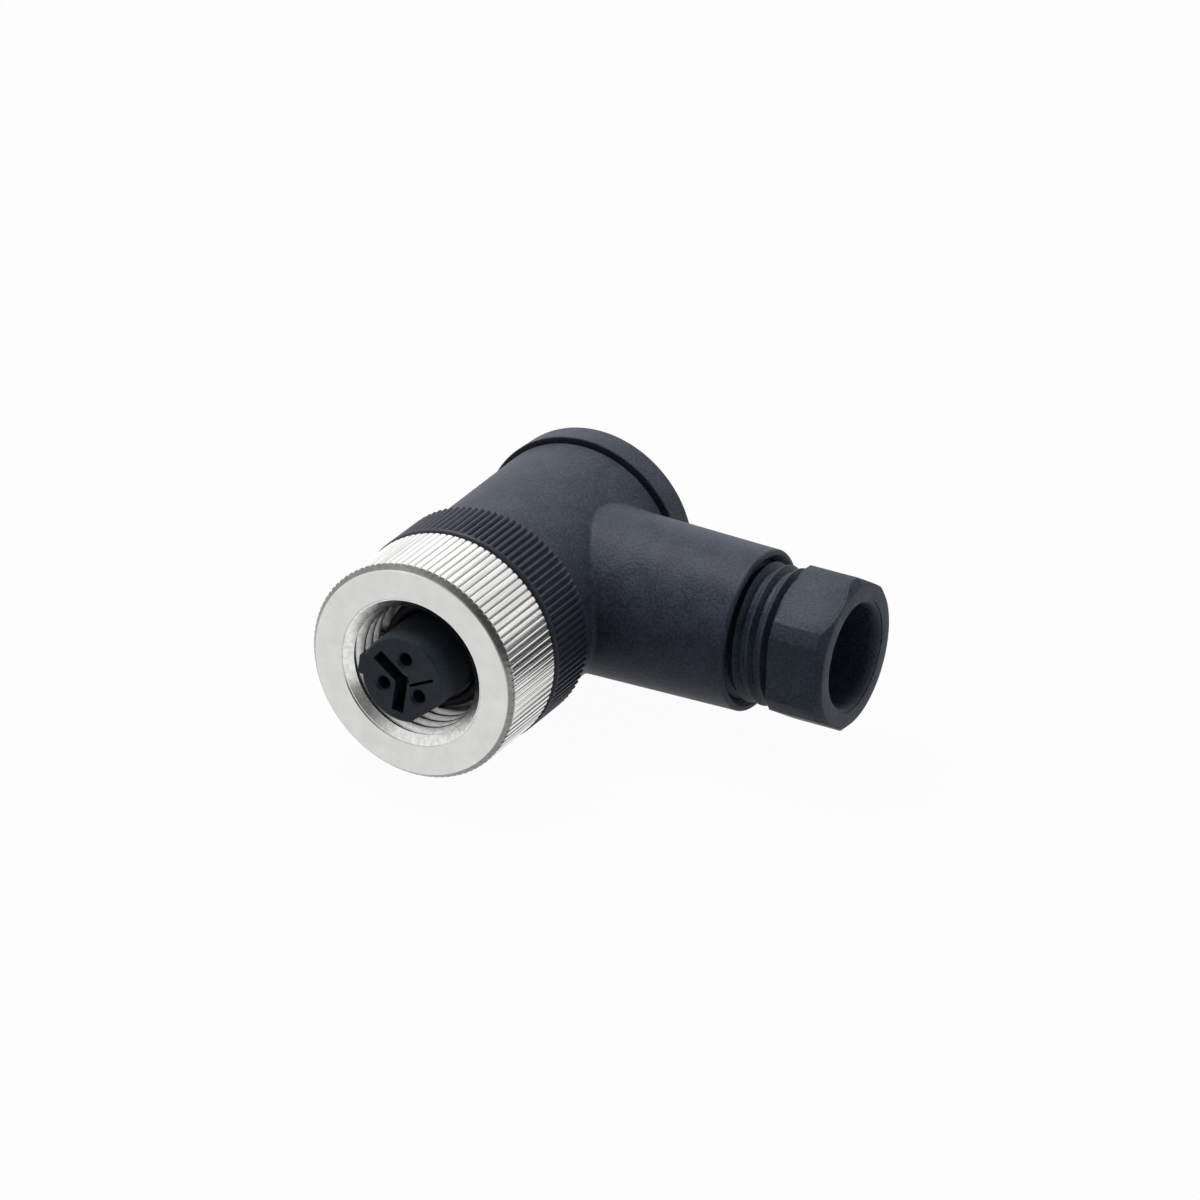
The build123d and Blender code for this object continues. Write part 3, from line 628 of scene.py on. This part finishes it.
headOutline = [
    (0, shoulderX),
    (gland["cornerRadius"] - gland["edge"], shoulderX),
    (gland["cornerRadius"], shoulderX + gland["edge"]),
    (gland["cornerRadius"], glandEnd - gland["endChamfer"]),
    (gland["endRadius"], glandEnd),
    (0, glandEnd),
]
cut(glandHead, turn("headEnvelope", branchLine, headOutline, gland["turnSteps"]), "INTERSECT")
funnelStart = glandEnd - gland["mouthStep"]
mouthRadius = gland["boreRadius"] + gland["funnel"] + gland["mouthStep"]
funnelArc = [
    (gland["boreRadius"] + gland["funnel"] * (1 - sin(angle)),
     funnelStart - gland["funnelLength"] * (1 - cos(angle)))
    for angle in quarterTurn(gland["funnelSteps"])
]
boreOutline = [
    (0, glandEnd + mm), (mouthRadius, glandEnd + mm), (mouthRadius, funnelStart),
] + funnelArc + [
    (gland["boreRadius"], shoulderX - mm), (0, shoulderX - mm),
]
cut(glandHead, turn("boreCutter", branchLine, boreOutline, gland["turnSteps"]))
soften(glandHead, gland["softening"])
shankOutline = [
    (gland["boreRadius"], shoulderX + gland["overlap"]),
    (gland["rootRadius"], shoulderX + gland["overlap"]),
    (gland["rootRadius"], shankX + gland["shankEnd"]),
    (gland["coneMouth"] + gland["coneRim"], shankX),
    (gland["coneMouth"], shankX),
    (gland["coneThroat"], shankX + gland["coneLength"]),
    (gland["boreRadius"], shankX + gland["coneLength"] + gland["throatEdge"]),
]
shank = turn("shank", branchLine, shankOutline, gland["turnSteps"])
threadLength = shoulderX - gland["undercut"] - shankX
glandThread = helix(
    "glandThread", branchLine, gland["threadSection"], gland["pitch"],
    threadLength / gland["pitch"] - gland["turnsLeftOut"],
    start=shankX + gland["threadLead"], startAngle=radians(gland["threadAngle"]),
)
glandScrew = join([glandHead, shank, glandThread])
finishPiece(glandScrew, glandNylon, "gland_screw", "gland_nylon", "gland_screw")
print("gland screw made")

# Every frame node that still shows gets its own finish
nodeFinish = {
    "angle_housing": housingNylon, "clamping_cage": glandNylon, "thrust_washer": glandNylon,
    "contact_insert": insertNylon, "insert_sleeve": insertNylon,
    "contact_1": gold, "contact_2": gold, "earth_contact": gold, "coupling_retainer": steel,
    "face_seal": rubber, "insert_seal": rubber, "rear_cap_seal": rubber, "cable_seal": rubber,
}
for number in (1, 2, 3):
    nodeFinish[f"clamp_screw_{number}"] = steel
    nodeFinish[f"wire_guard_{number}"] = steel
for nodeName, finish in nodeFinish.items():
    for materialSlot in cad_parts[nodeName].material_slots:
        materialSlot.material = finish
print("frame nodes finished")

# Floor, world and lamps: a plain pale studio
studio = {
    "floorSize": 3.0, "floorDrop": 0.02 * mm, "floorHex": "#b0b0b0", "floorRoughness": 0.9,
    "floorGlow": 0.965, "skyStrength": 0.14,
    "darkSide": (0.8, -0.6, 0.0), "darkWall": 0.18, "wallFade": (0.2, 0.8),
    "ceiling": 0.3, "ceilingFade": (0.74, 0.94),
    "aim": (0.008, 0.014, 0.0),
    "lamps": [
        # name, place, size, watts
        ("keyLamp", (-0.12, 0.06, 0.30), 0.22, 1.38),
        ("fillLamp", (0.38, 0.04, 0.10), 0.25, 0.3),
        ("rimLamp", (-0.10, 0.30, 0.16), 0.25, 0.08),
    ],
}


def meetsBackground(owner):  # 1 for the rays that should meet a white background
    path = addNode(owner, "ShaderNodeLightPath")
    clear = calculate(
        owner, "MAXIMUM", path.outputs["Is Camera Ray"], path.outputs["Is Transmission Ray"]
    )
    return calculate(owner, "MAXIMUM", clear, path.outputs["Is Glossy Ray"])


deselectAll()
bpy.ops.mesh.primitive_plane_add(
    size=studio["floorSize"], location=(0, 0, cadBounds[0][2] - studio["floorDrop"])
)
floor = bpy.context.object
floor.name = "floor"
bpy.ops.object.transform_apply(location=True)
floorMaterial, floorSurface = newMaterial(
    "paleFloor", {"Base Color": linear(studio["floorHex"]), "Roughness": studio["floorRoughness"]}
)
glow = addNode(floorMaterial, "ShaderNodeEmission", {"Color": (1, 1, 1, 1), "Strength": 1.0})
glowShare = calculate(floorMaterial, "MULTIPLY", meetsBackground(floorMaterial), studio["floorGlow"])
blended = addNode(
    floorMaterial, "ShaderNodeMixShader",
    {0: glowShare, 1: floorSurface.outputs["BSDF"], 2: glow.outputs["Emission"]},
)
floorOutput = floorMaterial.node_tree.nodes["Material Output"]
connect(floorMaterial, floorOutput, {"Surface": blended.outputs["Shader"]})
floor.data.materials.append(floorMaterial)

world = bpy.data.worlds.new("studioWorld")
bpy.context.scene.world = world
world.use_nodes = True
towards = addNode(world, "ShaderNodeTexCoord").outputs["Generated"]
sideways = addNode(
    world, "ShaderNodeVectorMath", {0: towards, 1: studio["darkSide"]}, operation="DOT_PRODUCT"
).outputs["Value"]
wall = remap(
    world, sideways, studio["wallFade"], (1, studio["darkWall"]), interpolation_type="SMOOTHSTEP"
)
upwards = addNode(world, "ShaderNodeSeparateXYZ", {"Vector": towards}).outputs["Z"]
ceiling = remap(world, upwards, studio["ceilingFade"], (1, studio["ceiling"]))
room = calculate(world, "MULTIPLY", wall, ceiling)
cameraRay = addNode(world, "ShaderNodeLightPath").outputs["Is Camera Ray"]
seenRoom = calculate(world, "MAXIMUM", room, cameraRay)
backdrop = world.node_tree.nodes["Background"]
backdrop.inputs["Color"].default_value = (1, 1, 1, 1)
connect(world, backdrop, {
    "Strength": mixNumbers(world, meetsBackground(world), studio["skyStrength"], seenRoom),
})

for lampName, place, size, watts in studio["lamps"]:
    deselectAll()
    bpy.ops.object.light_add(type="AREA", location=place)
    lamp = bpy.context.object
    lamp.name = lampName
    lamp.data.shape = "DISK"
    lamp.data.size = size
    lamp.data.energy = watts
    lamp.rotation_euler = (Vector(place) - Vector(studio["aim"])).to_track_quat("Z", "Y").to_euler()
print("studio made")

# Camera: a long lens from the front right, a little above
shot = {
    "azimuth": radians(28.014), "elevation": radians(26.629), "roll": radians(1.706),
    "distance": 585.5 * mm, "target": Vector((11.141, 13.215, 4.352)) * mm,
    "lens": 203.68, "sensorWidth": 36, "clipStart": 0.01, "clipEnd": 20,
}
back = Vector((
    sin(shot["azimuth"]) * cos(shot["elevation"]),
    -cos(shot["azimuth"]) * cos(shot["elevation"]),
    sin(shot["elevation"]),
))
level = Vector((cos(shot["azimuth"]), sin(shot["azimuth"]), 0))
upright = back.cross(level)
right = level * cos(shot["roll"]) + upright * sin(shot["roll"])
up = upright * cos(shot["roll"]) - level * sin(shot["roll"])
eye = shot["target"] + back * shot["distance"]
bpy.ops.object.camera_add(location=eye)
camera = bpy.context.object
camera.matrix_world = Matrix((
    (right.x, up.x, back.x, eye.x),
    (right.y, up.y, back.y, eye.y),
    (right.z, up.z, back.z, eye.z),
    (0, 0, 0, 1),
))
camera.data.lens = shot["lens"]
camera.data.sensor_width = shot["sensorWidth"]
camera.data.clip_start = shot["clipStart"]
camera.data.clip_end = shot["clipEnd"]
bpy.context.scene.camera = camera
bpy.context.scene.view_settings.view_transform = "Standard"

deselectAll()
